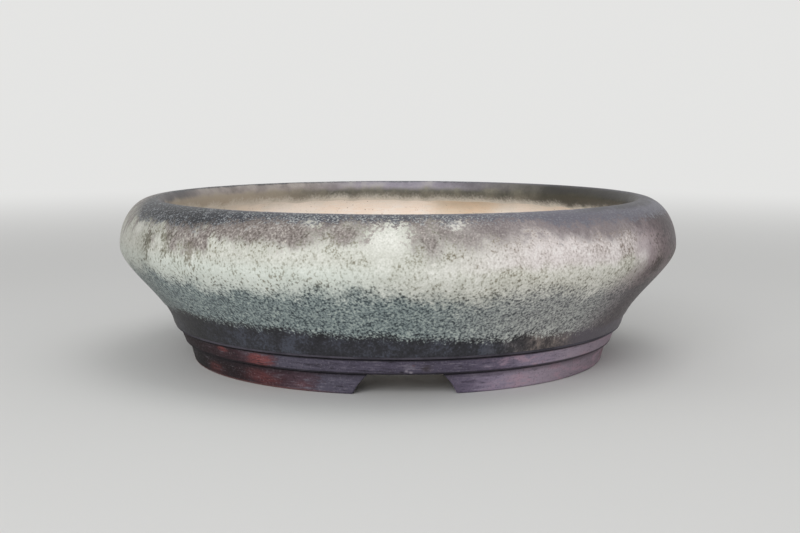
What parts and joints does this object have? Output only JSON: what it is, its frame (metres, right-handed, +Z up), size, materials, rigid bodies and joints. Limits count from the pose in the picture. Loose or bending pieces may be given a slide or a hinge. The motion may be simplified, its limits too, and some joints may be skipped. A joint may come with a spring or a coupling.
{
  "type": "round bonsai pot",
  "caption": "Low round glazed stoneware pot with a full belly, rolled lip, stepped foot band and notched feet; holds soil and drains through its floor.",
  "frame": {"origin": "on the ground, in the middle of the pot", "axes": "+Z up along the axis that the pot was thrown on; -Y to the front, where a foot notch faces the viewer; +X to the viewer's right"},
  "size_m": [0.28, 0.28, 0.0813],
  "materials": {
    "raw_clay": "bare fired stoneware, cream with peach flashing",
    "speckled_glaze": "satin matt glaze, mauve-brown and cream above, grey-green and speckled below",
    "washed_clay": "oxide-washed unglazed stoneware, purple-grey with red patches"
  },
  "bodies": {
    "root": {"bowl": "raw_clay", "glaze_coat": "speckled_glaze", "foot_band": "washed_clay", "foot_front_right": "washed_clay", "foot_back": "washed_clay", "foot_front_left": "washed_clay"}
  },
  "joints": []
}
